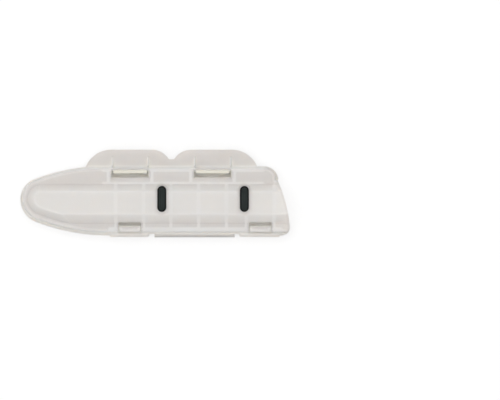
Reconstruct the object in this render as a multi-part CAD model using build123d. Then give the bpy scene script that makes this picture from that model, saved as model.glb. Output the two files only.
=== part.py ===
"""Hinged two-shell edge guard, moulded in polypropylene with elastomer grips.

X runs along the guard with the closed tip at -X and the open mouth at +X.
Y runs across it with the hinge at -Y and the finger tabs at +Y.
Z is up: the guard lies on its back shell with the front shell on top.
Heights in the functions are measured from the parting plane between the shells.
"""

from build123d import *
from math import atan2, degrees, hypot
import os

# Overall size
overall_length = 150.0
overall_width = 48.8
half_thickness = 7.0
parting_gap = 0.1

# Shell section
wall = 1.2
flange_thickness = 1.35
flange_width = 1.2
flange_shift = 0.5
rim_height = 4.2
side_draft = 0.3
plateau_width = 12.8
plateau_offset = -1.1
latch_slope_run = 3.9
hinge_slope_run = 5.0
tip_slope_foot = 4.2
tip_slope_run = 3.8
plateau_edge_radius = 0.8
rim_edge_ease = 0.5

# Tip and mouth outline
nose_offset = 0.9
latch_tip_run = 45.7
latch_nose_share = 0.3093
hinge_tip_run = 49.4
hinge_nose_share = 0.3506
shoulder_radius = 8.2
shoulder_setback = 6.3
shoulder_turn = 82.0
mouth_step = 0.6
mouth_bow = 1.15
heel_radius = 4.6

# Finger tabs
tab_height = 9.25
tab_valley_height = 3.9
tab_pitch_share = 0.3053
tab_middle_share = 0.0607
tab_outer_run = 10.8
tab_inner_run = 11.9
tab_outer_radius = 15.2
tab_inner_radius = 11.2
tab_relief_depth = 0.45
tab_relief_width = 5.4
gusset_thickness = 0.9
gusset_reach = 7.0
gusset_height = 2.2
gusset_spread = 9.95

# Living hinge
hinge_length = 44.7
hinge_middle_share = 0.1462
web_thickness = 0.4
hinge_loop_radius = 0.8
hinge_proud = 1.0
hinge_step_inset = 0.45
hinge_step_run = 0.3
relief_depth = 0.85
tip_strip_length = 22.2
heel_strip_length = 22.9
strip_drop = 0.85
tip_relief_width = 2.8
heel_relief_width = 2.5
strip_corner_radius = 1.2

# Latch hooks and their windows
latch_width = 20.6
latch_side_gap = 1.0
latch_window_width = 3.5
latch_window_inset = 2.8
hook_thickness = 1.1
hook_wall_gap = 0.1
barb_overhang = 0.75
barb_thickness = 0.75
barb_lead_in = 0.4
barb_end_gap = 0.15
barb_seat_gap = 0.05
hook_sink = 0.05
root_radius = 0.6
root_gap = 0.1
catch_rail_depth = 1.3

# Hinge-side tongues and their windows
tongue_place_shares = (-0.0933, 0.3893)
tongue_window_length = 12.5
tongue_window_width = 5.7
tongue_end_gap = 0.25
tongue_bar_gap = 0.15
tongue_depth = 3.6
tongue_rise = 3.2
tongue_wall = 1.2
tongue_chamfer = 0.5

# Stiffening ribs
rib_thickness = 1.0
rib_depth = 1.2
middle_rib_share = 0.1617
middle_rib_pitch_share = 0.103
middle_rib_count = 3
tongue_rib_gap = 1.0
latch_rib_gap = 1.3
hinge_rail_width = 1.1

# Elastomer grips
grip_width = 5.0
grip_length = 14.4
grip_middle_share = 0.0259
grip_offset = 2.2
grip_rim = 1.0
grip_ledge_width = 0.7
grip_ledge_thickness = 0.7
grip_head_depth = 0.6
grip_head_sink = 0.1
grip_skirt_height = 3.0
grip_nose_gap = 0.4
grip_groove_width = 1.5
grip_groove_depth = 0.35
grip_notch_count = 5
grip_notch_width = 1.2
grip_notch_depth = 1.0

# Places that follow from the sizes above
nose_x = -overall_length / 2
mouth_x = overall_length / 2
far_x = overall_length
tab_top = overall_width / 2
body_top = tab_top - tab_height
hinge_edge = -overall_width / 2
body_bottom = hinge_edge + hinge_proud
body_middle = (body_top + body_bottom) / 2
nose_y = body_middle + nose_offset
flange_top = parting_gap + flange_thickness
rim_inside = rim_height - wall
plateau_inside = half_thickness - wall
slope_rise = half_thickness - rim_height
plateau_high = body_middle + plateau_offset + plateau_width / 2
plateau_low = body_middle + plateau_offset - plateau_width / 2
latch_slope_foot = plateau_high + latch_slope_run
hinge_slope_foot = plateau_low - hinge_slope_run
tray_top = body_top - flange_width + flange_shift
tray_bottom = body_bottom + flange_width + flange_shift
tab_pitch = tab_pitch_share * overall_length
tab_middle = tab_middle_share * overall_length
latch_places = [tab_middle - tab_pitch / 2, tab_middle + tab_pitch / 2]
grip_start = grip_middle_share * overall_length
grip_places = [grip_start, grip_start + tab_pitch]
grip_y = body_middle + plateau_offset + grip_offset
tongue_places = [share * overall_length for share in tongue_place_shares]
hinge_middle = hinge_middle_share * overall_length
hinge_left = hinge_middle - hinge_length / 2
hinge_right = hinge_middle + hinge_length / 2
hinge_axis_y = hinge_edge + hinge_loop_radius
hinge_step_y = body_bottom + hinge_step_inset
latch_window_top = body_top - latch_window_inset
latch_window_low = latch_window_top - latch_window_width
hook_face = latch_window_top - hook_wall_gap
hook_middle = hook_face - hook_thickness / 2
hook_half_length = latch_width / 2 - latch_side_gap
hook_top = rim_height - hook_sink
ledge_height = hook_top - barb_thickness - barb_seat_gap
catch_end = hook_face + barb_overhang + barb_end_gap
tongue_window_low = tray_bottom
tongue_window_top = tongue_window_low + tongue_window_width
wall_foot = tray_bottom + side_draft
shoulder_x = mouth_x - shoulder_setback - shoulder_radius
middle_rib = middle_rib_share * overall_length
middle_rib_pitch = middle_rib_pitch_share * overall_length
grip_pocket_top = half_thickness - grip_head_depth - grip_ledge_thickness
grip_neck_width = grip_width - 2 * grip_ledge_width
grip_neck_length = grip_length - 2 * grip_ledge_width


def slab(face, low, high):
    """Upright prism of a plan face between two heights."""
    return extrude(Pos(0, 0, low) * face, amount=high - low)


def bar(section, x_low, x_high):
    """Prism along X of a section drawn in Y and height."""
    return extrude(Plane.YZ.offset(x_low) * section, amount=x_high - x_low)


def block(x_low, x_high, y_low, y_high, low, high):
    """Box given by its two limits in each direction."""
    size = Box(x_high - x_low, y_high - y_low, high - low, align=(Align.MIN, Align.MIN, Align.MIN))
    return Pos(x_low, y_low, low) * size


def long_arc_radius(run, nose_radius, edge_height):
    """Radius of the long arc that joins the nose arc of one side to its straight edge."""
    return (run**2 + edge_height**2 - 2 * nose_radius * run) / (2 * (edge_height - nose_radius))


def tip_curves(inset):
    """The four tangent arcs round the tip, from the latch side to the hinge side."""
    latch_nose = latch_nose_share * (body_top - body_bottom)
    hinge_nose = hinge_nose_share * (body_top - body_bottom)
    latch_radius = long_arc_radius(latch_tip_run, latch_nose, body_top - nose_y)
    hinge_radius = long_arc_radius(hinge_tip_run, hinge_nose, nose_y - body_bottom)
    latch_long = (nose_x + latch_tip_run, body_top - latch_radius)
    hinge_long = (nose_x + hinge_tip_run, body_bottom + hinge_radius)
    latch_centre = (nose_x + latch_nose, nose_y)
    hinge_centre = (nose_x + hinge_nose, nose_y)
    latch_turn = degrees(atan2(latch_centre[1] - latch_long[1], latch_centre[0] - latch_long[0]))
    hinge_turn = degrees(atan2(hinge_long[1] - hinge_centre[1], hinge_centre[0] - hinge_long[0]))
    return [
        CenterArc(latch_long, latch_radius - inset, 90, latch_turn - 90),
        CenterArc(latch_centre, latch_nose - inset, latch_turn, 180 - latch_turn),
        CenterArc(hinge_centre, hinge_nose - inset, 180, 180 - hinge_turn),
        CenterArc(hinge_long, hinge_radius - inset, 360 - hinge_turn, hinge_turn - 90),
    ]


def sleeve_face(inset):
    """Plan of the body drawn in by an inset and left open past the mouth."""
    arcs = tip_curves(inset)
    top_start = arcs[0] @ 0
    bottom_end = arcs[-1] @ 1
    far_top = (far_x, top_start.Y)
    far_bottom = (far_x, bottom_end.Y)
    edges = [Line(far_top, top_start), *arcs, Line(bottom_end, far_bottom), Line(far_bottom, far_top)]
    return make_face(edges)


def body_face():
    """Plan of the body: tip, straight sides, latch-side shoulder, bowed mouth and heel."""
    arcs = tip_curves(0)
    shoulder_centre = (shoulder_x, body_top - shoulder_radius)
    shoulder = CenterArc(shoulder_centre, shoulder_radius, 90 - shoulder_turn, shoulder_turn)
    shoulder_end = shoulder @ 0
    step_end = (shoulder_end.X - mouth_step, shoulder_end.Y - mouth_step)
    heel = CenterArc((mouth_x - heel_radius, body_bottom + heel_radius), heel_radius, 270, 90)
    mouth = SagittaArc(heel @ 1, step_end, -mouth_bow)
    edges = [
        Line(shoulder @ 1, arcs[0] @ 0),
        *arcs,
        Line(arcs[-1] @ 1, heel @ 0),
        heel,
        mouth,
        Line(step_end, shoulder_end),
        shoulder,
    ]
    return make_face(edges)


def tab_face():
    """Plan of the two finger tabs with the shallow valley between them."""
    outlines = []
    for place, outer_side in zip(latch_places, (-1, 1)):
        outer_x = place + outer_side * tab_outer_run
        inner_x = place - outer_side * tab_inner_run
        outer_turn = 90 if outer_side < 0 else 0
        outer = CenterArc((outer_x, tab_top - tab_outer_radius), tab_outer_radius, outer_turn, 90)
        inner = CenterArc((inner_x, tab_top - tab_inner_radius), tab_inner_radius, 90 - outer_turn, 90)
        outer_ends = (outer @ 1, outer @ 0) if outer_side < 0 else (outer @ 0, outer @ 1)
        inner_ends = (inner @ 0, inner @ 1) if outer_side < 0 else (inner @ 1, inner @ 0)
        outer_foot = (outer_ends[0].X, body_middle)
        inner_foot = (inner_ends[0].X, body_middle)
        edges = [
            Line(outer_foot, outer_ends[0]),
            outer,
            Line(outer_ends[1], inner_ends[1]),
            inner,
            Line(inner_ends[0], inner_foot),
            Line(inner_foot, outer_foot),
        ]
        outlines.append(make_face(edges))
    valley_top = body_top + tab_valley_height
    valley = Pos(tab_middle, (body_middle + valley_top) / 2) * Rectangle(
        tab_pitch - 2 * tab_inner_run, valley_top - body_middle
    )
    return outlines[0] + outlines[1] + valley


def strip_face(x_low, x_high):
    """Plan of a strip that widens the flange on the hinge side."""
    y_low = body_bottom - strip_drop
    size = RectangleRounded(x_high - x_low, body_middle - y_low, strip_corner_radius)
    return Pos((x_low + x_high) / 2, (y_low + body_middle) / 2) * size


def flange_face():
    """Plan of the flange: body, tabs and hinge-side strips, less the hinge relief."""
    tip_strip_right = hinge_left - tip_relief_width
    heel_strip_left = hinge_right + heel_relief_width
    face = body_face() + tab_face()
    face += strip_face(tip_strip_right - tip_strip_length, tip_strip_right)
    face += strip_face(heel_strip_left, heel_strip_left + heel_strip_length)
    relief_top = body_bottom + relief_depth
    relief_height = relief_top - hinge_edge
    relief = Pos((tip_strip_right + heel_strip_left) / 2, hinge_edge + relief_height / 2) * Rectangle(
        heel_strip_left - tip_strip_right, relief_height
    )
    land = Pos(hinge_middle, (hinge_step_y + relief_top) / 2) * Rectangle(
        hinge_length, relief_top - hinge_step_y
    )
    return face - relief + land


def hinge_land():
    """Thin land, ramped down from the flange, from which the hinge web springs."""
    outline = Polyline(
        (hinge_step_y, parting_gap),
        (hinge_step_y, flange_top),
        (hinge_step_y - hinge_step_run, hinge_loop_radius),
        (hinge_axis_y, hinge_loop_radius),
        (hinge_axis_y, parting_gap),
        close=True,
    )
    return bar(make_face(outline), hinge_left, hinge_right)


def dome_section(skin, low, high):
    """Section of the raised plateau with its two slopes, drawn in by a skin."""
    outline = []
    for foot, run, side in (
        (latch_slope_foot, latch_slope_run, 1),
        (hinge_slope_foot, hinge_slope_run, -1),
    ):
        slant = skin * hypot(run, slope_rise) / slope_rise
        heights = (low, high) if side > 0 else (high, low)
        for height in heights:
            travel = (height - rim_height) * run / slope_rise + slant
            outline.append((foot - side * travel, height))
    return make_face(Polyline(outline, close=True))


def top_edges(form):
    """Edges round the highest face of a form."""
    return form.faces().sort_by(Axis.Z)[-1].edges()


def dome(skin, low, high):
    """Raised plateau of one shell, sloped down round the tip and open past the mouth."""
    slant = skin * hypot(tip_slope_run, slope_rise) / slope_rise
    faces = []
    for height in (low, high):
        inset = tip_slope_foot + (height - rim_height) * tip_slope_run / slope_rise + slant
        faces.append(Pos(0, flange_shift, height) * sleeve_face(inset))
    return loft(faces, ruled=True) & bar(dome_section(skin, low, high), nose_x, far_x)


def sleeve(inset, low, high):
    """Drafted block along the whole guard, inside the flange by an inset."""
    draft_per_height = side_draft / (rim_height - flange_top)
    faces = []
    for height in (low, high):
        drawn_in = inset + draft_per_height * (height - flange_top)
        faces.append(Pos(0, flange_shift, height) * sleeve_face(drawn_in))
    return loft(faces, ruled=True)


def inset_slab(inset, low, high):
    """Prism of the body plan drawn in by an inset all round."""
    return slab(Pos(0, flange_shift) * offset(body_face(), -inset), low, high)


def stadium(width, length):
    """Plan of a slot with round ends, long across the guard."""
    return SlotOverall(length, width, rotation=90)


def mouth_step_y():
    """Height across the guard at which the shoulder ends and the open mouth begins."""
    corners = body_face().vertices().filter_by_position(Axis.Y, 0, body_top)
    return min(corner.Y for corner in corners)


def outer_form():
    """One shell before it is hollowed out: flange, drafted rim band and plateau."""
    body = body_face()
    rim = sleeve(flange_width, parting_gap, rim_height)
    rim = chamfer(top_edges(rim), rim_edge_ease)
    rim &= inset_slab(flange_width, parting_gap, rim_height)
    hood = block(shoulder_x, far_x, wall_foot, mouth_step_y(), parting_gap, rim_height)
    hood &= slab(body, parting_gap, rim_height)
    plateau = dome(0, rim_inside, half_thickness)
    plateau = fillet(top_edges(plateau), plateau_edge_radius)
    plateau &= slab(body, 0, half_thickness)
    return slab(flange_face(), parting_gap, flange_top) + hinge_land() + rim + hood + plateau


def cavity():
    """Hollow inside one shell, which runs out through the mouth."""
    rim = sleeve(flange_width + wall, 0, rim_inside)
    rim &= inset_slab(flange_width + wall, 0, rim_inside)
    mouth = block(shoulder_x, far_x, wall_foot + wall, mouth_step_y() - wall, 0, rim_inside)
    return rim + mouth + dome(wall, rim_inside, plateau_inside)


def rib_channel():
    """Clear channel that the cross ribs leave open."""
    low = wall_foot + wall + rib_depth
    rim = block(nose_x, far_x, low, body_top, 0, rim_inside - rib_depth)
    return rim + bar(dome_section(wall + rib_depth, 0, plateau_inside - rib_depth), nose_x, far_x)


def cross_slices():
    """Flat slices that become the ribs across the plateau and beside the latches."""
    first_rib = middle_rib - middle_rib_pitch * (middle_rib_count - 1) / 2
    places = [first_rib + index * middle_rib_pitch for index in range(middle_rib_count)]
    beside_tongue = tongue_window_length / 2 + tongue_rib_gap + rib_thickness / 2
    for place in tongue_places:
        places += [place - beside_tongue, place + beside_tongue]
    half_rib = rib_thickness / 2
    slices = [
        block(place - half_rib, place + half_rib, body_bottom, latch_slope_foot, parting_gap, half_thickness)
        for place in places
    ]
    beside_latch = latch_width / 2 + latch_rib_gap + rib_thickness / 2
    for place in latch_places:
        for x in (place - beside_latch, place + beside_latch):
            band = (latch_slope_foot, body_top, parting_gap, half_thickness)
            slices.append(block(x - half_rib, x + half_rib, *band))
    return slices


def ribs(hollow):
    """Ribs across the shell and the rails along its two sides."""
    channel = rib_channel()
    group = [(piece & hollow) - channel for piece in cross_slices()]
    rail = block(
        nose_x + hinge_tip_run,
        mouth_x - heel_radius,
        body_bottom,
        wall_foot + wall + hinge_rail_width,
        rim_inside - rib_depth,
        rim_inside,
    )
    foot_rail = block(
        nose_x + latch_tip_run,
        shoulder_x,
        latch_slope_foot,
        latch_slope_foot + rib_thickness,
        rim_inside - rib_depth,
        rim_inside,
    )
    return group + [rail & hollow, foot_rail & hollow]


def tab_gussets():
    """Small triangular webs between the rim band and the finger tabs."""
    foot = tray_top - wall / 2
    section = make_face(
        Polyline(
            (foot, flange_top),
            (foot, flange_top + gusset_height),
            (foot + gusset_reach, flange_top),
            close=True,
        )
    )
    half_web = gusset_thickness / 2
    webs = []
    for place in latch_places:
        for x in (place - gusset_spread, place + gusset_spread):
            webs.append(bar(section, x - half_web, x + half_web))
    return webs


def grip_seats():
    """Collars round the grips, and the stepped holes that the grips fill."""
    collars = []
    holes = []
    for place in grip_places:
        spot = Pos(place, grip_y)
        collar = spot * stadium(grip_width + 2 * grip_rim, grip_length + 2 * grip_rim)
        full = spot * stadium(grip_width, grip_length)
        neck = spot * stadium(grip_neck_width, grip_neck_length)
        collars.append(slab(collar, grip_skirt_height, half_thickness))
        holes.append(slab(full, 0, grip_pocket_top))
        holes.append(slab(neck, grip_pocket_top, half_thickness))
        holes.append(slab(full, half_thickness - grip_head_depth, half_thickness))
    return collars, holes


def plain_shell():
    """The form that both shells share, drawn with its inside towards the parting plane."""
    hollow = cavity()
    collars, holes = grip_seats()
    shell = outer_form() - hollow
    shell = shell + ribs(hollow) + tab_gussets() + collars - holes
    relief_y = tab_top - tab_relief_width
    finger_relief = block(nose_x, far_x, relief_y, tab_top, 0, tab_relief_depth)
    return shell - finger_relief


def front_shell():
    """Upper shell with the latch windows, their ledges and the tongue windows."""
    hollow = cavity()
    rail = block(
        nose_x + latch_tip_run,
        shoulder_x,
        latch_window_top,
        body_top,
        rim_inside - catch_rail_depth,
        rim_inside,
    )
    shell = plain_shell() + (rail & hollow)
    for place in latch_places:
        left = place - latch_width / 2
        right = place + latch_width / 2
        shell -= block(left, right, latch_window_low, latch_window_top, 0, half_thickness)
        shell -= block(left, right, latch_window_top, catch_end, ledge_height, half_thickness)
    for place in tongue_places:
        left = place - tongue_window_length / 2
        right = place + tongue_window_length / 2
        shell -= block(left, right, tongue_window_low, tongue_window_top, 0, half_thickness)
    return shell


def tongue(place):
    """Upright tongue, open behind, that stands in a window of the front shell."""
    half_length = tongue_window_length / 2 - tongue_end_gap
    low = tongue_window_low + tongue_bar_gap
    high = low + tongue_depth
    body = block(place - half_length, place + half_length, low, high, -rim_inside, tongue_rise)
    nose_edge = body.edges().filter_by(Axis.X).group_by(Axis.Z)[-1].sort_by(Axis.Y)[-1]
    body = chamfer(nose_edge, tongue_chamfer)
    inner = half_length - tongue_wall
    pocket_top = tongue_rise - tongue_wall
    return body - block(place - inner, place + inner, low + tongue_wall, high, -rim_inside, pocket_top)


def back_shell():
    """Lower shell with its tongues, the hooks' root seats and the core slots under their barbs."""
    shell = mirror(plain_shell(), Plane.XY)
    for place in tongue_places:
        shell += tongue(place)
    for place in latch_places:
        seat = Cylinder(root_radius + root_gap, 2 * (hook_half_length + root_gap), rotation=(0, 90, 0))
        shell -= Pos(place, hook_middle, -rim_inside) * seat
        left = place - hook_half_length
        right = place + hook_half_length
        shell -= block(left, right, hook_face, catch_end, -half_thickness, -rim_inside)
    return shell


def living_hinge():
    """Thin web that loops round the closed hinge edge and joins the two lands."""
    inner_radius = hinge_loop_radius - web_thickness
    outer = CenterArc((hinge_axis_y, 0), hinge_loop_radius, 90, 180)
    inner = CenterArc((hinge_axis_y, 0), inner_radius, 90, 180)
    section = make_face([outer, Line(outer @ 1, inner @ 1), inner, Line(inner @ 0, outer @ 0)])
    return bar(section, hinge_left, hinge_right)


def latch_hook(place):
    """Flat spring hook with a round root, a straight stem and an outward barb."""
    barb_end = hook_face + barb_overhang
    stem_back = hook_face - hook_thickness
    barb_low = hook_top - barb_thickness
    outline = Polyline(
        (stem_back, -rim_inside),
        (stem_back, hook_top),
        (barb_end - barb_lead_in, hook_top),
        (barb_end, hook_top - barb_lead_in),
        (barb_end, barb_low),
        (hook_face, barb_low),
        (hook_face, -rim_inside),
        close=True,
    )
    section = make_face(outline) + Pos(hook_middle, -rim_inside) * Circle(root_radius)
    return bar(section, place - hook_half_length, place + hook_half_length)


def grip(place):
    """Elastomer grip: flush head, neck through the shell wall and a notched nose inside."""
    full = stadium(grip_width, grip_length)
    head_low = half_thickness - grip_head_depth
    head_top = half_thickness - grip_head_sink
    body = slab(full, head_low, head_top)
    body += slab(stadium(grip_neck_width, grip_neck_length), grip_pocket_top, head_low)
    body += slab(full, grip_nose_gap, grip_pocket_top)
    groove_length = grip_neck_length - grip_groove_width
    groove = stadium(grip_groove_width, groove_length)
    body -= slab(groove, head_top - grip_groove_depth, head_top)
    notch_pitch = grip_neck_length / grip_notch_count
    first = -notch_pitch * (grip_notch_count - 1) / 2
    for index in range(grip_notch_count):
        middle = first + index * notch_pitch
        body -= block(
            -grip_width,
            grip_width,
            middle - grip_notch_width / 2,
            middle + grip_notch_width / 2,
            0,
            grip_nose_gap + grip_notch_depth,
        )
    return Pos(place, grip_y) * body


def write(name, shape):
    """Lift a piece onto its rest face and write it under its name."""
    export_step(Pos(0, 0, half_thickness) * shape, f"parts/{name}.step")


def main():
    """Build every piece in the closed position."""
    os.makedirs("parts", exist_ok=True)
    write("back_shell", back_shell())
    write("front_shell", front_shell())
    write("living_hinge", living_hinge())
    for end, latch_place, grip_place in zip(("tip", "heel"), latch_places, grip_places):
        write(f"{end}_latch_hook", latch_hook(latch_place))
        front_grip = grip(grip_place)
        write(f"front_{end}_grip", front_grip)
        write(f"back_{end}_grip", mirror(front_grip, Plane.XY))


main()
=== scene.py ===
"""The look of a hinged edge guard in milky polypropylene with black elastomer grips.

The frame gives every place and outer size, in metres, with X along the guard, the hinge at -Y
and the finger tabs at +Y. The two shells are softened copies of their frame pieces. The hinge
web, the latch hooks and the grips are grown by node trees from their sections.
"""

import logging
import math
from dataclasses import dataclass, replace
from enum import Enum, StrEnum

import bmesh
import bpy
import numpy as np
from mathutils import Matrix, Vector
from mathutils.bvhtree import BVHTree

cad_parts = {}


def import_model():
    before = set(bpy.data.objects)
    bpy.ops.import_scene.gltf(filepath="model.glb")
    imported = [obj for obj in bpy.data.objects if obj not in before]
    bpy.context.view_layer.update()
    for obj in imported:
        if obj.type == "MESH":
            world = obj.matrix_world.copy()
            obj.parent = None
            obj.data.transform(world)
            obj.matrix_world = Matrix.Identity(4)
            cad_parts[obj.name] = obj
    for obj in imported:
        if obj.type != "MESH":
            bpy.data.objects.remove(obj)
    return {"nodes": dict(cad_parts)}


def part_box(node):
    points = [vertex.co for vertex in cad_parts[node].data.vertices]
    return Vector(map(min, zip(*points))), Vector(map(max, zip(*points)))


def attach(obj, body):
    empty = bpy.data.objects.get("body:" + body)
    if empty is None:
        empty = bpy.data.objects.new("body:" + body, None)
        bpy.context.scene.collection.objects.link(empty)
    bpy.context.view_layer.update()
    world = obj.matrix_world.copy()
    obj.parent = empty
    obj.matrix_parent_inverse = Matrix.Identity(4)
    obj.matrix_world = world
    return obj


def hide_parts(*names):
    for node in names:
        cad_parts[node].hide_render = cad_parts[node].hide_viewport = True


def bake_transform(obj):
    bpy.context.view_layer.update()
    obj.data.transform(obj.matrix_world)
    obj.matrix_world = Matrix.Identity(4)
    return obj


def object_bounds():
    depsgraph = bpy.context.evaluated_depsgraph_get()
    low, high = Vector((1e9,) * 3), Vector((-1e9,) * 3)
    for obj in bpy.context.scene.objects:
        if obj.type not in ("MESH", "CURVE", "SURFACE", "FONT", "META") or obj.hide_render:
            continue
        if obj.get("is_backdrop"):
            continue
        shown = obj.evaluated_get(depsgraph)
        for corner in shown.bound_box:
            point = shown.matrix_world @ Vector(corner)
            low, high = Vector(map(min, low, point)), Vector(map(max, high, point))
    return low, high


LOG = logging.getLogger("edge_guard")
MM = 0.001
MERGE_DISTANCE = 0.001 * MM
MIRROR_Y = (1.0, -1.0, 1.0)
BLACK = (0.0, 0.0, 0.0)
Point = tuple[float, float]
Spot = tuple[float, float, float]
Colour = tuple[float, float, float]
Corner = tuple[float, float, float]
Socket = bpy.types.NodeSocket
Sockets = bpy.types.bpy_prop_collection


class Slot(Enum):
    """Names of the record's material slots, which nothing in this script reads."""

    SHELL = "shell"
    WEB = "hinge_web"
    HOOK = "latch_hook"
    GRIP = "grip"


class Side(Enum):
    """The two shells, with the direction in which each one's outside faces."""

    FRONT = 1
    BACK = -1

    @property
    def label(self) -> str:
        """The word that the names of this side's pieces begin with."""
        return self.name.lower()

    @property
    def body(self) -> str:
        """Name of the shell's body, which is also the name of its frame piece."""
        return f"{self.label}_shell"


class End(StrEnum):
    """The two ends of the guard, each with a latch hook and a pair of grips."""

    TIP = "tip"
    HEEL = "heel"


class Graph:
    """Adds nodes to one tree and joins them."""

    def __init__(self, tree: bpy.types.NodeTree) -> None:
        """Hold the tree that the nodes go into."""
        self.tree = tree

    def add(self, kind: str, inputs: dict | None = None, **settings: object) -> bpy.types.Node:
        """Add a node and feed its inputs.

        Args:
            kind: the node's type name.
            inputs: a value or a feeding socket for each input, by name or number.
            settings: the node's own settings.

        Returns:
            The new node.
        """
        node = self.tree.nodes.new(kind)
        for name, value in settings.items():
            setattr(node, name, value)
        for key, value in (inputs or {}).items():
            if isinstance(value, Socket):
                self.tree.links.new(value, node.inputs[key])
            else:
                node.inputs[key].default_value = value
        return node

    def calc(self, operation: str, first: Socket | float, second: Socket | float = 0.0) -> Socket:
        """Add a math operation on two numbers or sockets, and return its socket."""
        return self.add("ShaderNodeMath", {0: first, 1: second}, operation=operation).outputs[0]

    def parts(self, vector: Socket) -> Sockets:
        """Add the split of a vector into its X, Y and Z, and return their sockets."""
        return self.add("ShaderNodeSeparateXYZ", {"Vector": vector}).outputs

    def vector(
        self, x: Socket | float = 0.0, y: Socket | float = 0.0, z: Socket | float = 0.0
    ) -> Socket:
        """Add the vector with these parts and return its socket."""
        return self.add("ShaderNodeCombineXYZ", {"X": x, "Y": y, "Z": z}).outputs[0]

    def remap(
        self,
        value: Socket,
        source: Point = (0.0, 1.0),
        target: Point = (0.0, 1.0),
        course: str = "LINEAR",
    ) -> Socket:
        """Add the map from one range to another, which holds still past its ends.

        Args:
            value: the socket to map.
            source: the two ends of the value's range.
            target: what the result is at each of them.
            course: how the result runs between them.

        Returns:
            The result's socket.
        """
        ends = dict(zip(("From Min", "From Max", "To Min", "To Max"), (*source, *target)))
        node = self.add("ShaderNodeMapRange", {"Value": value, **ends}, interpolation_type=course)
        return node.outputs["Result"]

    def mix(self, share: Socket, first: Socket | Colour, second: Socket | Colour) -> Socket:
        """Add a mix of two colours.

        Args:
            share: how much of the second one there is.
            first: the first colour.
            second: the second colour.

        Returns:
            The mixed colour's socket.
        """
        inputs = {"Factor": share}
        for key, end in (("A", first), ("B", second)):
            inputs[key] = end if isinstance(end, Socket) else (*end, 1.0)
        return self.add("ShaderNodeMix", inputs, data_type="RGBA").outputs["Result"]

    def noise(self, place: Socket, scale: float, detail: float) -> Socket:
        """Add a cloudy pattern and return its socket, which runs from 0 to 1."""
        inputs = {"Vector": place, "Scale": scale, "Detail": detail}
        return self.add("ShaderNodeTexNoise", inputs).outputs["Fac"]


def material(name: str) -> tuple[bpy.types.Material, Graph]:
    """Make an empty node material.

    Args:
        name: the material's name.

    Returns:
        The material and the graph of its tree.
    """
    made = bpy.data.materials.new(name)
    made.use_nodes = True
    made.node_tree.nodes.clear()
    return made, Graph(made.node_tree)


@dataclass(frozen=True)
class Oblong:
    """A grip's outline in plan: straight sides along Y with a half round at each end."""

    x: float
    y: float
    reach: float
    half_straight: float

    @classmethod
    def of_node(cls, node: str) -> "Oblong":
        """Read the outline from the frame.

        Args:
            node: the name of the grip's frame piece.

        Returns:
            The outline.
        """
        low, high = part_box(node)
        middle = (low + high) / 2
        reach = (high.x - low.x) / 2
        return cls(middle.x, middle.y, reach, (high.y - low.y) / 2 - reach)


@dataclass(frozen=True)
class Layout:
    """Places on the guard that its finishes follow, the same on both sides.

    The parting plane lies at half the thickness. The grips stand half a pitch to either side of
    the outline given here.
    """

    half_thickness: float
    tab_edge: float
    grip: Oblong
    half_pitch: float

    @classmethod
    def from_frame(cls, box: tuple[Vector, Vector]) -> "Layout":
        """Read the places from the frame.

        Args:
            box: the lowest and the highest corner of the frame.

        Returns:
            The layout.
        """
        low, high = box
        tip = Oblong.of_node("front_tip_grip")
        heel = Oblong.of_node("front_heel_grip")
        between = replace(tip, x=(tip.x + heel.x) / 2)
        return cls((high.z - low.z) / 2, high.y, between, (heel.x - tip.x) / 2)

    def grip_distance(self, graph: Graph, place: Socket) -> Socket:
        """Add the distance in plan from a place to the nearest grip's outline.

        Args:
            graph: the material's graph.
            place: the place on the piece.

        Returns:
            The distance's socket, zero on the outline and less within it.
        """
        parts = graph.parts(place)
        from_middle = graph.calc("ABSOLUTE", graph.calc("SUBTRACT", parts["X"], self.grip.x))
        across = graph.calc("SUBTRACT", from_middle, self.half_pitch)
        along = graph.calc("ABSOLUTE", graph.calc("SUBTRACT", parts["Y"], self.grip.y))
        past = graph.calc("MAXIMUM", graph.calc("SUBTRACT", along, self.grip.half_straight), 0.0)
        squares = [graph.calc("MULTIPLY", part, part) for part in (across, past)]
        from_spine = graph.calc("SQRT", graph.calc("ADD", *squares))
        return graph.calc("SUBTRACT", from_spine, self.grip.reach)


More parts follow.
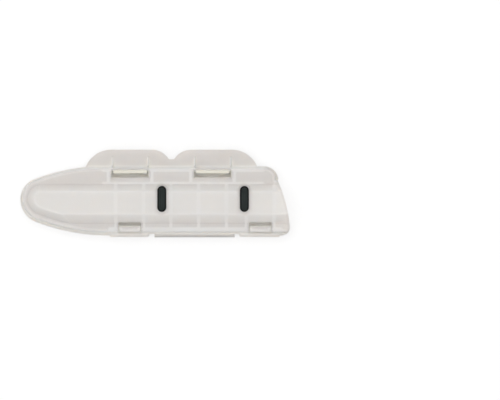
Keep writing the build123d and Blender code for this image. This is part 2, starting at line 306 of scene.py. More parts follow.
@dataclass(frozen=True)
class MilkyPlastic:
    """Natural polypropylene: milky, a little see-through, with a fine moulded frost.

    It looks whiter where there is more of it, over ribs: partly the plastic's own milky white,
    partly painted light and shade that stand in for the dark hollow seen through thinner walls.
    Steep walls get painted light, and the plateau is painted lighter by its height. The finger
    tabs are even, apart from their webs. Faint clouds follow the flow of the melt along X. Steep
    walls are seen edge on and look less clear. Hollows and creases get painted light, a glow that
    stands in for the light that the walls around them let through, and painted shade darkens the
    plastic round the black grips, which soak up light.
    """

    name: str
    layout: Layout
    thin_tone: Colour = (0.746, 0.713, 0.697)
    thick_tone: Colour = (0.980, 0.943, 0.920)
    wall_reach: float = 1.5 * MM
    wall_range: Point = (0.60, 0.88)
    wall_share: float = 1.3
    tab_depth: float = 9.1 * MM
    tab_fade: float = 0.5 * MM
    tab_share: float = 0.12
    flange_height: float = 1.55 * MM
    web_fade: float = 0.3 * MM
    plateau_rise: float = 2.8 * MM
    plateau_painted_light: float = 0.5
    upright_painted_light: float = 0.6
    hollow_tone: Colour = (1.000, 0.975, 0.905)
    hollow_reach: float = 6.0 * MM
    hollow_range: Point = (0.3, 0.95)
    grip_shade: float = 0.22
    grip_shade_reach: float = 2.4 * MM
    cloud_share: float = 0.16
    cloud_scale: float = 42.0
    cloud_detail: float = 4.0
    flow_stretch: Spot = (0.35, 2.2, 2.2)
    clarity: float = 0.42
    clear_range: Point = (0.2, 0.7)
    milk: float = 1.0
    milk_depth: float = 0.8 * MM
    milk_spread: Colour = (1.0, 0.95, 0.9)
    roughness: float = 0.5
    roughness_swing: float = 0.12
    index: float = 1.49
    grain_scale: float = 2600.0
    grain_detail: float = 2.0
    grain_height: float = 0.012 * MM
    ripple_scale: float = 150.0
    ripple_detail: float = 1.0
    ripple_height: float = 0.05 * MM
    bump_share: float = 0.35

    def build(self) -> bpy.types.Material:
        """Build the material.

        Returns:
            The material, ready for a mesh.
        """
        made, graph = material(self.name)
        coordinates = graph.add("ShaderNodeTexCoord").outputs
        place = coordinates["Object"]
        level = graph.calc("ABSOLUTE", graph.parts(coordinates["Normal"])["Z"])
        stretched = {"Vector": place, "Scale": self.flow_stretch}
        flow = graph.add("ShaderNodeMapping", stretched).outputs[0]
        cloud = graph.noise(flow, self.cloud_scale, self.cloud_detail)
        roughest = self.roughness + self.roughness_swing
        surface = graph.add(
            "ShaderNodeBsdfPrincipled",
            {
                "Base Color": self.tone(graph, place, self.milk_and_painted_light(graph, place, cloud, level)),
                "Roughness": graph.remap(cloud, target=(self.roughness, roughest)),
                "IOR": self.index,
                "Transmission Weight": graph.remap(level, self.clear_range, (0.0, self.clarity)),
                "Subsurface Weight": self.milk,
                "Subsurface Radius": self.milk_spread,
                "Subsurface Scale": self.milk_depth,
                "Normal": self.frost(graph, place),
            },
        ).outputs[0]
        graph.add("ShaderNodeOutputMaterial", {"Surface": surface})
        return made

    def milk_and_painted_light(self, graph: Graph, place: Socket, cloud: Socket, level: Socket) -> Socket:
        """Add the share of white, by thickness and by painted light on height and slope.

        Args:
            graph: the material's graph.
            place: the place on the piece.
            cloud: the pattern of the flow, from 0 to 1.
            level: how level the surface lies, from 0 on upright walls to 1.

        Returns:
            The socket of the share of white.
        """
        # Whiter where thicker: part the plastic's own milky white, part painted light and shade.
        depth = graph.add(
            "ShaderNodeAmbientOcclusion", {"Distance": self.wall_reach}, inside=True, only_local=True
        ).outputs["AO"]
        wall = graph.remap(depth, self.wall_range, (0.0, self.wall_share))
        parts = graph.parts(place)
        height = graph.calc("ABSOLUTE", graph.calc("SUBTRACT", parts["Z"], self.layout.half_thickness))
        body = self.even_tabs(graph, parts["Y"], height, wall)
        top = self.layout.half_thickness
        # Painted light: the plateau is lighter by its height.
        painted_top_light = graph.remap(height, (top - self.plateau_rise, top), (0.0, self.plateau_painted_light))
        drift = graph.remap(cloud, target=(-self.cloud_share / 2, self.cloud_share / 2))
        # Painted light on steep walls, which grows as a face turns upright.
        upright = graph.calc("MULTIPLY", graph.calc("SUBTRACT", 1.0, level), self.upright_painted_light)
        return graph.calc("ADD", graph.calc("ADD", body, painted_top_light), graph.calc("ADD", drift, upright))

    def even_tabs(self, graph: Graph, across: Socket, height: Socket, wall: Socket) -> Socket:
        """Add the evener tone of the finger tabs, whose webs stay as white as ribs.

        Args:
            graph: the material's graph.
            across: the place's Y.
            height: its height over the parting plane, on either side.
            wall: the share of white by wall thickness.

        Returns:
            The socket of the share, the same as before away from the tabs.
        """
        # Webs over the flange get the ribs' share of white, partly painted light.
        web_range = (self.flange_height, self.flange_height + self.web_fade)
        tab = graph.remap(height, web_range, (self.tab_share, self.wall_share))
        line = self.layout.tab_edge - self.tab_depth
        on_tab = graph.remap(across, (line, line + self.tab_fade))
        return graph.add("ShaderNodeMix", {"Factor": on_tab, "A": wall, "B": tab}).outputs["Result"]

    def tone(self, graph: Graph, place: Socket, milk_and_painted_light: Socket) -> Socket:
        """Add the colour, with painted light inside hollows and painted shade round the grips.

        Args:
            graph: the material's graph.
            place: the place on the piece.
            milk_and_painted_light: the share of white.

        Returns:
            The colour's socket.
        """
        milky = graph.mix(milk_and_painted_light, self.thin_tone, self.thick_tone)
        # Painted light: hollows and creases glow with a paler tone.
        around = graph.add("ShaderNodeAmbientOcclusion", {"Distance": self.hollow_reach}).outputs["AO"]
        glowing = graph.mix(graph.remap(around, self.hollow_range), self.hollow_tone, milky)
        # Painted shade: the plastic darkens round the grips, which soak up light.
        distance = self.layout.grip_distance(graph, place)
        fade = (0.0, self.grip_shade_reach)
        shadow = graph.remap(distance, fade, (self.grip_shade, 0.0), course="SMOOTHSTEP")
        return graph.mix(shadow, glowing, BLACK)

    def frost(self, graph: Graph, place: Socket) -> Socket:
        """Add the fine grain of the mould and the faint ripple of shrinkage.

        Args:
            graph: the material's graph.
            place: the place on the piece.

        Returns:
            The normal's socket.
        """
        grain = graph.noise(place, self.grain_scale, self.grain_detail)
        ripple = graph.noise(place, self.ripple_scale, self.ripple_detail)
        fine = graph.calc("MULTIPLY", grain, self.grain_height)
        broad = graph.calc("MULTIPLY", ripple, self.ripple_height)
        return graph.add(
            "ShaderNodeBump",
            {"Strength": self.bump_share, "Distance": 1.0, "Height": graph.calc("ADD", fine, broad)},
        ).outputs[0]


@dataclass(frozen=True)
class WebPlastic(MilkyPlastic):
    """The same plastic in the hinge web, less white as it is thin and by painted shade."""

    thin_tone: Colour = (0.620, 0.602, 0.588)
    thick_tone: Colour = (0.810, 0.790, 0.775)


@dataclass(frozen=True)
class HookPlastic(MilkyPlastic):
    """The same plastic in the latch hooks, warmer and less clear.

    Their tones are painted darker, as painted shade of the windows that they sit in.
    """

    thin_tone: Colour = (0.76, 0.73, 0.65)
    thick_tone: Colour = (0.86, 0.825, 0.745)
    clarity: float = 0.1


@dataclass(frozen=True)
class Elastomer:
    """Matt black thermoplastic elastomer, finely pebbled, with painted shade round its rim."""

    name: str
    layout: Layout
    rim_shade_tone: Colour = (0.002, 0.002, 0.002)
    rim_shade_range: Point = (-1.15 * MM, -0.5 * MM)
    dark_tone: Colour = (0.013, 0.017, 0.016)
    worn_tone: Colour = (0.027, 0.034, 0.032)
    gloss: float = 0.08
    roughness: float = 0.52
    roughness_swing: float = 0.16
    patch_scale: float = 240.0
    patch_detail: float = 3.0
    pebble_scale: float = 3400.0
    pebble_height: float = 0.02 * MM

    def build(self) -> bpy.types.Material:
        """Build the material.

        Returns:
            The material, ready for a mesh.
        """
        made, graph = material(self.name)
        place = graph.add("ShaderNodeTexCoord").outputs["Object"]
        patch = graph.noise(place, self.patch_scale, self.patch_detail)
        # Painted shade: each grip is darker towards its rim.
        rim_shade = graph.remap(self.layout.grip_distance(graph, place), self.rim_shade_range)
        tone = graph.mix(rim_shade, graph.mix(patch, self.dark_tone, self.worn_tone), self.rim_shade_tone)
        rough = graph.remap(patch, target=(self.roughness, self.roughness + self.roughness_swing))
        pebble = graph.add(
            "ShaderNodeTexVoronoi", {"Vector": place, "Scale": self.pebble_scale}
        ).outputs["Distance"]
        height = graph.calc("MULTIPLY", pebble, self.pebble_height)
        bump = graph.add("ShaderNodeBump", {"Distance": 1.0, "Height": height}).outputs[0]
        surface = graph.add(
            "ShaderNodeBsdfPrincipled",
            {"Base Color": tone, "Roughness": rough, "Specular IOR Level": self.gloss, "Normal": bump},
        ).outputs[0]
        graph.add("ShaderNodeOutputMaterial", {"Surface": surface})
        return made


def new_object(name: str, mesh: bpy.types.Mesh) -> bpy.types.Object:
    """Put a mesh into the scene.

    Args:
        name: the object's name.
        mesh: its mesh, with its place in its points.

    Returns:
        The object, which sits at the origin.
    """
    made = bpy.data.objects.new(name, mesh)
    bpy.context.scene.collection.objects.link(made)
    return made


def section_line(name: str, corners: list[Corner], closed: bool) -> bpy.types.Object:
    """Draw a section as a mesh of edges, with a corner radius on each point.

    Args:
        name: the object's name.
        corners: the place of each corner, across and up, and its radius.
        closed: whether the last corner joins the first.

    Returns:
        The object that a node tree grows the piece from.
    """
    mesh = bpy.data.meshes.new(name)
    count = len(corners)
    edges = [(i, (i + 1) % count) for i in range(count if closed else count - 1)]
    mesh.from_pydata([(across, up, 0.0) for across, up, _ in corners], edges, [])
    softness = mesh.attributes.new("softness", "FLOAT", "POINT")
    softness.data.foreach_set("value", [radius for _, _, radius in corners])
    return new_object(name, mesh)


class GrowingTree:
    """A geometry node tree with named inputs, which grows a piece from its section."""

    title = "growing_tree"
    sizes: dict[str, str] = {}

    def __init__(self) -> None:
        """Build the tree with its inputs, its way of growing and its end."""
        self.tree = bpy.data.node_groups.new(self.title, "GeometryNodeTree")
        self.graph = Graph(self.tree)
        face = self.tree.interface
        face.new_socket(name="Geometry", in_out="INPUT", socket_type="NodeSocketGeometry")
        for name, kind in {**self.sizes, "Finish": "NodeSocketMaterial"}.items():
            face.new_socket(name=name, in_out="INPUT", socket_type=kind)
        face.new_socket(name="Geometry", in_out="OUTPUT", socket_type="NodeSocketGeometry")
        source = self.graph.add("NodeGroupInput").outputs
        grown = self.grow(source)
        real = self.graph.add("GeometryNodeRealizeInstances", {"Geometry": grown}).outputs[0]
        dressed = self.graph.add(
            "GeometryNodeSetMaterial", {"Geometry": real, "Material": source["Finish"]}
        ).outputs[0]
        self.graph.add("NodeGroupOutput", {"Geometry": dressed})

    def grow(self, source: Sockets) -> Socket:
        """Add the nodes that grow the piece from the tree's inputs, and return its socket."""
        raise NotImplementedError

    def rounded(self, line: Socket, steps: Socket) -> Socket:
        """Turn a mesh line into a curve with its corners rounded by their softness.

        Args:
            line: the mesh line.
            steps: how many points each rounded corner gets.

        Returns:
            The curve's socket.
        """
        curve = self.graph.add("GeometryNodeMeshToCurve", {"Mesh": line}).outputs[0]
        radius = self.graph.add("GeometryNodeInputNamedAttribute", {"Name": "softness"}).outputs[0]
        return self.graph.add(
            "GeometryNodeFilletCurve",
            {"Curve": curve, "Count": steps, "Radius": radius, "Limit Radius": True},
            mode="POLY",
        ).outputs[0]

    def merged(self, mesh: Socket) -> Socket:
        """Join the points of a mesh that lie on each other, and return its socket."""
        inputs = {"Geometry": mesh, "Distance": MERGE_DISTANCE}
        return self.graph.add("GeometryNodeMergeByDistance", inputs).outputs[0]

    def apply(self, line: bpy.types.Object, name: str, values: dict[str, object]) -> bpy.types.Object:
        """Grow a piece and turn it into a plain mesh.

        Args:
            line: the object that holds the section, which is removed.
            name: the piece's name.
            values: the value of each named input.

        Returns:
            The finished piece.
        """
        modifier = line.modifiers.new(self.title, "NODES")
        modifier.node_group = self.tree
        for item in self.tree.interface.items_tree:
            if item.in_out == "INPUT" and item.name in values:
                modifier[item.identifier] = values[item.name]
        grown = line.evaluated_get(bpy.context.evaluated_depsgraph_get())
        mesh = bpy.data.meshes.new_from_object(grown)
        mesh.name = name
        line.modifiers.clear()
        bpy.data.objects.remove(line)
        return new_object(name, mesh)


class SectionRun(GrowingTree):
    """Runs a rounded section, drawn in Y and height, along X and closes both ends."""

    title = "section_run"
    sizes = {
        "Start": "NodeSocketFloat",
        "Run": "NodeSocketFloat",
        "Corner Steps": "NodeSocketInt",
    }

    def grow(self, source: Sockets) -> Socket:
        """Fill the section, draw it out and turn it into place.

        Args:
            source: the tree's inputs.

        Returns:
            The grown geometry's socket.
        """
        graph = self.graph
        curve = self.rounded(source["Geometry"], source["Corner Steps"])
        cap = graph.add("GeometryNodeFillCurve", {"Curve": curve}, mode="NGONS").outputs[0]
        drawn = graph.add(
            "GeometryNodeExtrudeMesh", {"Mesh": cap, "Offset Scale": source["Run"], "Individual": False}
        ).outputs[0]
        foot = graph.add("GeometryNodeFlipFaces", {"Mesh": cap}).outputs[0]
        joined = graph.add("GeometryNodeJoinGeometry")
        for part in (foot, drawn):
            self.tree.links.new(part, joined.inputs[0])
        old = graph.parts(graph.add("GeometryNodeInputPosition").outputs[0])
        along = graph.calc("ADD", old["Z"], source["Start"])
        turned = {
            "Geometry": self.merged(joined.outputs[0]),
            "Position": graph.vector(along, old["X"], old["Y"]),
        }
        return graph.add("GeometryNodeSetPosition", turned).outputs[0]


class OblongSweep(GrowingTree):
    """Sweeps a profile round an oblong and cuts notches across its nose."""

    title = "oblong_sweep"
    sizes = {
        "Reach": "NodeSocketFloat",
        "Half Straight": "NodeSocketFloat",
        "Steps Round": "NodeSocketInt",
        "Corner Steps": "NodeSocketInt",
        "Notches": "NodeSocketInt",
        "Notch Pitch": "NodeSocketFloat",
        "Notch Size": "NodeSocketVector",
    }

    def rail(self, source: Sockets) -> Socket:
        """Add the oblong line that the profile is swept round.

        Args:
            source: the tree's inputs.

        Returns:
            The closed curve's socket.
        """
        graph = self.graph
        ring = graph.add("GeometryNodeCurvePrimitiveCircle", {"Resolution": source["Steps Round"]})
        # The points stand half a step on, so that none lies where the two half rounds part.
        index = graph.calc("ADD", graph.add("GeometryNodeInputIndex").outputs[0], 0.5)
        turn = graph.calc("DIVIDE", graph.calc("MULTIPLY", index, math.tau), source["Steps Round"])
        sine = graph.calc("SINE", turn)
        across = graph.calc("MULTIPLY", graph.calc("COSINE", turn), source["Reach"])
        bow = graph.calc("MULTIPLY", sine, source["Reach"])
        shift = graph.calc("MULTIPLY", graph.calc("SIGN", sine), source["Half Straight"])
        spot = graph.vector(across, graph.calc("ADD", bow, shift))
        line = graph.add(
            "GeometryNodeSetPosition", {"Geometry": ring.outputs[0], "Position": spot}
        ).outputs[0]
        return graph.add("GeometryNodeSetCurveNormal", {"Curve": line}, mode="Z_UP").outputs[0]

    def notches(self, source: Sockets) -> Socket:
        """Add the row of blocks that cut the notches.

        Args:
            source: the tree's inputs.

        Returns:
            The blocks' socket.
        """
        graph = self.graph
        gaps = graph.calc("SUBTRACT", source["Notches"], 1.0)
        length = graph.calc("MULTIPLY", gaps, source["Notch Pitch"])
        row = graph.add(
            "GeometryNodeMeshLine",
            {
                "Count": source["Notches"],
                "Start Location": graph.vector(y=graph.calc("MULTIPLY", length, -0.5)),
                "Offset": graph.vector(y=source["Notch Pitch"]),
            },
            mode="OFFSET",
        ).outputs[0]
        block = graph.add("GeometryNodeMeshCube", {"Size": source["Notch Size"]}).outputs[0]
        placed = graph.add("GeometryNodeInstanceOnPoints", {"Points": row, "Instance": block})
        return graph.add("GeometryNodeRealizeInstances", {"Geometry": placed.outputs[0]}).outputs[0]

    def grow(self, source: Sockets) -> Socket:
        """Sweep the profile, close its poles and cut the notches.

        Args:
            source: the tree's inputs.

        Returns:
            The grown geometry's socket.
        """
        graph = self.graph
        curve = self.rounded(source["Geometry"], source["Corner Steps"])
        back = graph.vector(graph.calc("MULTIPLY", source["Reach"], -1.0))
        here = graph.add("GeometryNodeInputPosition").outputs[0]
        mirrored = graph.add(
            "ShaderNodeVectorMath", {0: here, 1: MIRROR_Y, 2: back}, operation="MULTIPLY_ADD"
        ).outputs[0]
        profile = graph.add(
            "GeometryNodeSetPosition", {"Geometry": curve, "Position": mirrored}
        ).outputs[0]
        swept = graph.add(
            "GeometryNodeCurveToMesh", {"Curve": self.rail(source), "Profile Curve": profile}
        )
        return graph.add(
            "GeometryNodeMeshBoolean",
            {"Mesh 1": self.merged(swept.outputs[0]), "Mesh 2": self.notches(source)},
            operation="DIFFERENCE",
        ).outputs[0]


@dataclass(frozen=True)
class EdgeSoftener:
    """Rounds the sharp edges of a closed mesh wherever there is room for it.

    Edges whose rounding would make faces cross are left sharp, so the walls stay closed.
    """

    width: float = 0.16 * MM
    steps: int = 2
    sharp_angle: float = math.radians(30.0)
    flat_angle: float = math.radians(1.0)
    weld: float = 0.002 * MM
    rounds: int = 10
    clear_widths: float = 2.0

    def soften(self, source: bpy.types.Mesh, name: str) -> bpy.types.Mesh:
        """Make a softened copy of a mesh.

        Args:
            source: the mesh to copy.
            name: the new mesh's name.

        Returns:
            The softened mesh, in triangles.
        """
        base = bmesh.new()
        base.from_mesh(source)
        bmesh.ops.remove_doubles(base, verts=base.verts, dist=self.weld)
        bmesh.ops.dissolve_limit(base, angle_limit=self.flat_angle, verts=base.verts, edges=base.edges)
        base.edges.ensure_lookup_table()
        chosen = np.array([e.index for e in base.edges if e.calc_face_angle(0.0) > self.sharp_angle])
        ends = np.array([[tuple(v.co) for v in e.verts] for e in base.edges])
        trial, crossing = self.bevelled(base, chosen)
        for _ in range(self.rounds):
            if not len(crossing):
                break
            gaps = self.gaps(crossing, ends[chosen])
            near = (gaps < self.clear_widths * self.width).any(axis=0)
            near[gaps.argmin(axis=1)] = True
            chosen = chosen[~near]
            trial.free()
            trial, crossing = self.bevelled(base, chosen)
        LOG.info("%s: %d edges softened, %d faces still touch", name, len(chosen), len(crossing))
        base.free()
        made = bpy.data.meshes.new(name)
        trial.to_mesh(made)
        trial.free()
        return made

    def bevelled(
        self, base: bmesh.types.BMesh, chosen: np.ndarray
    ) -> tuple[bmesh.types.BMesh, np.ndarray]:
        """Round some edges of a copy.

        Args:
            base: the mesh to copy.
            chosen: numbers of the edges to round.

        Returns:
            The copy in triangles, and the centres of its faces that cross another face.
        """
        trial = base.copy()
        trial.edges.ensure_lookup_table()
        bmesh.ops.bevel(
            trial,
            geom=[trial.edges[i] for i in chosen],
            offset=self.width,
            offset_type="OFFSET",
            segments=self.steps,
            profile=0.5,
            affect="EDGES",
            clamp_overlap=False,
        )
        bmesh.ops.triangulate(trial, faces=trial.faces)
        trial.faces.ensure_lookup_table()
        tree = BVHTree.FromBMesh(trial)
        crossing = sorted({i for pair in tree.overlap(tree) for i in pair})
        return trial, np.array([tuple(trial.faces[i].calc_center_median()) for i in crossing])

    @staticmethod
    def gaps(points: np.ndarray, ends: np.ndarray) -> np.ndarray:
        """Measure how far each point is from each edge.

        Args:
            points: the points.
            ends: the two ends of each edge.

        Returns:
            One row of distances for each point.
        """
        start = ends[None, :, 0]
        run = ends[None, :, 1] - start
        share = ((points[:, None] - start) * run).sum(2) / (run**2).sum(2)
        nearest = start + np.clip(share, 0.0, 1.0)[..., None] * run
        return np.linalg.norm(points[:, None] - nearest, axis=2)


def shade(piece: bpy.types.Object, crease: float = math.radians(38.0)) -> None:
    """Smooth a piece's faces up to a crease angle, weighted by face area.

    Args:
        piece: the piece.
        crease: edges turned more than this stay sharp.
    """
    mesh = piece.data
    mesh.polygons.foreach_set("use_smooth", [True] * len(mesh.polygons))
    mesh.set_sharp_from_angle(angle=crease)
    weighted = piece.modifiers.new("weighted", "WEIGHTED_NORMAL")
    weighted.keep_sharp = True


@dataclass
class ClamShells:
    """The two moulded shells, softened copies of their frame pieces."""

    finish: bpy.types.Material
    softener: EdgeSoftener = EdgeSoftener()

    def build(self, nodes: dict[str, bpy.types.Object]) -> None:
        """Build both shells and set them on their bodies.

        Args:
            nodes: the frame's pieces.
        """
        for side in Side:
            name = f"{side.body}_moulding"
            piece = new_object(name, self.softener.soften(nodes[side.body].data, name))
            piece.data.materials.append(self.finish)
            shade(piece)
            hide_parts(side.body)
            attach(piece, side.body)
            LOG.info("built %s", name)


@dataclass
class HingeWeb:
    """The living hinge: a thin web, coined thinner at its fold, drawn folded between the shells."""

    finish: bpy.types.Material
    land_thickness: float = 0.4 * MM
    fold_thickness: float = 0.32 * MM
    arc_steps: int = 28
    corner_steps: int = 1

    def section(self, low: Vector, high: Vector) -> list[Corner]:
        """Work out the web's section.

        Args:
            low: the lowest corner of the frame's web.
            high: its highest corner.

        Returns:
            The corners of the closed outline, in Y and height, and their radii.
        """
        outer = (high.z - low.z) / 2
        middle = (high.z + low.z) / 2
        outside, inside = [], []
        for step in range(self.arc_steps + 1):
            turn = math.pi * step / self.arc_steps
            coined = math.sin(turn) ** 2
            thickness = self.land_thickness + (self.fold_thickness - self.land_thickness) * coined
            for line, radius in ((outside, outer), (inside, outer - thickness)):
                line.append((high.y - radius * math.sin(turn), middle - radius * math.cos(turn), 0.0))
        return outside[::-1] + inside

    def build(self, tree: SectionRun) -> None:
        """Grow the web between the shells, where the frame's web lies.

        Args:
            tree: the tree that runs a section along X.
        """
        low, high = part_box("living_hinge")
        line = section_line("hinge_section", self.section(low, high), closed=True)
        values = {
            "Start": low.x,
            "Run": high.x - low.x,
            "Corner Steps": self.corner_steps,
            "Finish": self.finish,
        }
        piece = tree.apply(line, "hinge_web", values)
        shade(piece)
        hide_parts("living_hinge")
        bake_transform(piece)
        LOG.info("built %s", piece.name)


@dataclass
class LatchHook:
    """One spring hook: round root, straight stem and outward barb with a lead-in."""

    end: End
    finish: bpy.types.Material
    root_radius: float = 0.6 * MM
    barb_overhang: float = 0.75 * MM
    barb_thickness: float = 0.75 * MM
    lead_in: float = 0.4 * MM
    edge_softness: float = 0.14 * MM
    root_softness: float = 0.5 * MM
    corner_steps: int = 4

    def section(self, low: Vector, high: Vector) -> list[Corner]:
        """Work out the hook's section.

        Args:
            low: the lowest corner of the frame's hook.
            high: its highest corner.

        Returns:
            The corners of the closed outline, in Y and height, and their radii.
        """
        face = high.y - self.barb_overhang
        root_top = low.z + self.root_radius
        root_middle = low.y + self.root_radius
        root_front = root_middle + self.root_radius
        stem_back = 2 * root_middle - face
        barb_foot = high.z - self.barb_thickness
        return [
            (stem_back, high.z, self.edge_softness),
            (stem_back, root_top, 0.0),
            (low.y, root_top, 0.0),
            (low.y, low.z, self.root_softness),
            (root_front, low.z, self.root_softness),
            (root_front, root_top, 0.0),
            (face, root_top, 0.0),
            (face, barb_foot, self.edge_softness),
            (high.y, barb_foot, self.edge_softness),
            (high.y, high.z - self.lead_in, self.edge_softness),
            (high.y - self.lead_in, high.z, self.edge_softness),
        ]

    def build(self, tree: SectionRun) -> None:
        """Grow the hook and set it on its own body.

        Args:
            tree: the tree that runs a section along X.
        """
        node = f"{self.end}_latch_hook"
        low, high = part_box(node)
        line = section_line("hook_section", self.section(low, high), closed=True)
        values = {
            "Start": low.x,
            "Run": high.x - low.x,
            "Corner Steps": self.corner_steps,
            "Finish": self.finish,
        }
        piece = tree.apply(line, f"{node}_moulding", values)
        shade(piece)
        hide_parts(node)
        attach(piece, f"{self.end}_latch")
        LOG.info("built %s", piece.name)


@dataclass
class Grip:
    """One elastomer grip: grooved head outside, neck in the wall, notched nose inside."""

    side: Side
    end: End
    finish: bpy.types.Material
    head_depth: float = 0.5 * MM
    ledge: float = 0.7 * MM
    groove_radius: float = 0.75 * MM
    groove_depth: float = 0.35 * MM
    groove_slope: float = 0.25 * MM
    head_softness: float = 0.35 * MM
    nose_softness: float = 0.25 * MM
    groove_softness: float = 0.2 * MM
    notches: int = 5
    notch_width: float = 1.2 * MM
    notch_depth: float = 1.0 * MM
    overrun: float = 1.0 * MM
    steps_round: int = 44
    corner_steps: int = 4

    def profile(self, reach: float, length: float) -> list[Corner]:
        """Work out the profile from the head's middle to the nose's middle.

        Args:
            reach: half the grip's width.
            length: its length from head to nose.

        Returns:
            Distance from the middle, height over the nose and corner radius of each point.
        """
        neck = reach - self.ledge
        under = length - self.head_depth
        shoulder = under - self.ledge
        floor = length - self.groove_depth
        return [
            (0.0, floor, 0.0),
            (self.groove_radius - self.groove_slope, floor, self.groove_softness),
            (self.groove_radius + self.groove_slope, length, self.groove_softness),
            (reach, length, self.head_softness),
            (reach, under, 0.0),
            (neck, under, 0.0),
            (neck, shoulder, 0.0),
            (reach, shoulder, self.nose_softness),
            (reach, 0.0, self.nose_softness),
            (0.0, 0.0, 0.0),
        ]

    def build(self, tree: OblongSweep) -> None:
        """Grow the grip and set it on its shell's body.

        Args:
            tree: the tree that sweeps a profile round an oblong.
        """
        node = f"{self.side.label}_{self.end}_grip"
        low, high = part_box(node)
        outline = Oblong.of_node(node)
        profile = self.profile(outline.reach, high.z - low.z)
        line = section_line("grip_profile", profile, closed=False)
        notched = 2 * (outline.half_straight + outline.reach - self.ledge)
        values = {
            "Reach": outline.reach,
            "Half Straight": outline.half_straight,
            "Steps Round": self.steps_round,
            "Corner Steps": self.corner_steps,
            "Notches": self.notches,
            "Notch Pitch": notched / self.notches,
            "Notch Size": (2 * outline.reach + self.overrun, self.notch_width, 2 * self.notch_depth),
            "Finish": self.finish,
        }
        piece = tree.apply(line, f"{node}_pad", values)
        self.turn_out(piece, outline, low.z if self.side is Side.FRONT else high.z)
        shade(piece)
        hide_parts(node)
        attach(piece, self.side.body)
        LOG.info("built %s", piece.name)

    def turn_out(self, piece: bpy.types.Object, outline: Oblong, nose: float) -> None:
        """Move the mesh to its place with its head facing out, and its faces too.

        Args:
            piece: the grip, grown upwards from the origin.
            outline: where it stands in plan.
            nose: the height of its nose.
        """
        shape = bmesh.new()
        shape.from_mesh(piece.data)
        for vertex in shape.verts:
            x, y, z = vertex.co
            vertex.co = (outline.x + x, outline.y + y, nose + self.side.value * z)
        bmesh.ops.recalc_face_normals(shape, faces=shape.faces)
        shape.to_mesh(piece.data)
        shape.free()


def grey(value: float) -> tuple[float, float, float, float]:
    """Give an even grey as a node's colour."""
    return (value, value, value, 1.0)


def seen_directly(graph: Graph) -> Socket:
    """Add the test for rays that show a thing rather than light it.

    Args:
        graph: the graph that gets the test.

    Returns:
        A socket that is 1 for camera, glossy and transmission rays.
    """
    path = graph.add("ShaderNodeLightPath").outputs
    sharp = graph.calc("MAXIMUM", path["Is Camera Ray"], path["Is Glossy Ray"])
    return graph.calc("MAXIMUM", sharp, path["Is Transmission Ray"])


@dataclass(frozen=True)
class StudioFloor:
    """White floor that reads as plain white to the camera and keeps a faint shadow."""

    name: str = "studio_floor"
    tone: float = 0.9
    glow: float = 0.72
    shadow_share: float = 0.28

    def build(self) -> bpy.types.Material:
        """Build the material.

        Returns:
            The material, ready for the floor.
        """
        made, graph = material(self.name)
        seen = seen_directly(graph)
        lit = graph.add("ShaderNodeBsdfDiffuse", {"Color": grey(self.tone)}).outputs[0]
        faint = graph.add("ShaderNodeBsdfDiffuse", {"Color": grey(self.shadow_share)}).outputs[0]
        white = graph.add("ShaderNodeEmission", {"Strength": self.glow}).outputs[0]
        plain = graph.add("ShaderNodeAddShader", {0: faint, 1: white}).outputs[0]
        surface = graph.add("ShaderNodeMixShader", {0: seen, 1: lit, 2: plain}).outputs[0]
        graph.add("ShaderNodeOutputMaterial", {"Surface": surface})
        return made


@dataclass(frozen=True)
class Lamp:
    """A soft square lamp that faces the guard, in metres and watts."""

    name: str
    place: Spot
    size: float
    power: float

    def build(self) -> None:
        """Hang the lamp."""
        data = bpy.data.lights.new(self.name, "AREA")
        data.size = self.size
        data.energy = self.power
        lamp = bpy.data.objects.new(self.name, data)
        lamp.location = self.place
        lamp.rotation_euler = (-Vector(self.place)).to_track_quat("-Z", "Y").to_euler()
        bpy.context.scene.collection.objects.link(lamp)


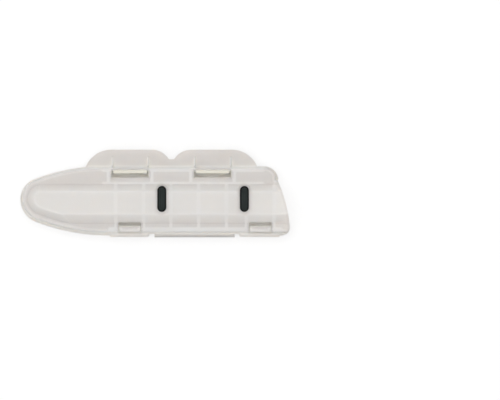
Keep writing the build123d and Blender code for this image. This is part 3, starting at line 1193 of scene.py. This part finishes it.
@dataclass
class Studio:
    """Pale floor, soft lamps and the camera straight above the guard."""

    view_middle: Point = (52.8 * MM, -3.62 * MM)
    view_width: float = 278.5 * MM
    view_height: float = 7.0 * MM
    lens: float = 200.0
    sensor: float = 36.0
    floor_size: float = 4.0
    floor_drop: float = 0.1 * MM
    sky: float = 0.68
    lamps: tuple[Lamp, ...] = (
        Lamp("top_lamp", place=(-0.1, 0.15, 0.9), size=0.8, power=4.2),
        Lamp("side_lamp", place=(-0.8, -0.5, 0.5), size=0.6, power=0.3),
    )

    def build(self) -> None:
        """Build the floor, the sky, the lamps and the camera."""
        self.add_floor()
        self.add_sky()
        for lamp in self.lamps:
            lamp.build()
        self.add_camera()
        bpy.context.scene.view_settings.view_transform = "Standard"
        LOG.info("built the studio")

    def add_floor(self) -> None:
        """Add the floor just under the guard."""
        half = self.floor_size / 2
        mesh = bpy.data.meshes.new("floor")
        corners = [(-half, -half), (half, -half), (half, half), (-half, half)]
        mesh.from_pydata([(x, y, -self.floor_drop) for x, y in corners], [], [(0, 1, 2, 3)])
        floor = new_object("floor", mesh)
        mesh.materials.append(StudioFloor().build())
        floor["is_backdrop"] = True

    def add_sky(self) -> None:
        """Add a soft white sky that shows as plain white."""
        world = bpy.data.worlds.new("studio_sky")
        world.use_nodes = True
        world.node_tree.nodes.clear()
        graph = Graph(world.node_tree)
        seen = seen_directly(graph)
        light, white = (
            graph.add("ShaderNodeBackground", {"Color": grey(1.0), "Strength": strength}).outputs[0]
            for strength in (self.sky, 1.0)
        )
        surface = graph.add("ShaderNodeMixShader", {0: seen, 1: light, 2: white}).outputs[0]
        graph.add("ShaderNodeOutputWorld", {"Surface": surface})
        bpy.context.scene.world = world

    def add_camera(self) -> None:
        """Add the camera, straight above and square to the guard."""
        data = bpy.data.cameras.new("camera")
        data.lens = self.lens
        data.sensor_width = self.sensor
        camera = bpy.data.objects.new("camera", data)
        distance = self.view_width * self.lens / self.sensor
        camera.location = (*self.view_middle, self.view_height + distance)
        bpy.context.scene.collection.objects.link(camera)
        bpy.context.scene.camera = camera


def main() -> None:
    """Load the frame and build every sub-assembly around it."""
    logging.basicConfig(level=logging.INFO, format="%(name)s: %(message)s")
    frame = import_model()
    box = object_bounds()
    layout = Layout.from_frame(box)
    ClamShells(MilkyPlastic("milky_polypropylene", layout).build()).build(frame["nodes"])
    sections = SectionRun()
    HingeWeb(WebPlastic("hinge_polypropylene", layout).build()).build(sections)
    hook_finish = HookPlastic("hook_polypropylene", layout).build()
    for end in End:
        LatchHook(end, hook_finish).build(sections)
    sweep = OblongSweep()
    rubber = Elastomer("black_elastomer", layout).build()
    for side in Side:
        for end in End:
            Grip(side, end, rubber).build(sweep)
    Studio().build()


if __name__ == "__main__":
    main()
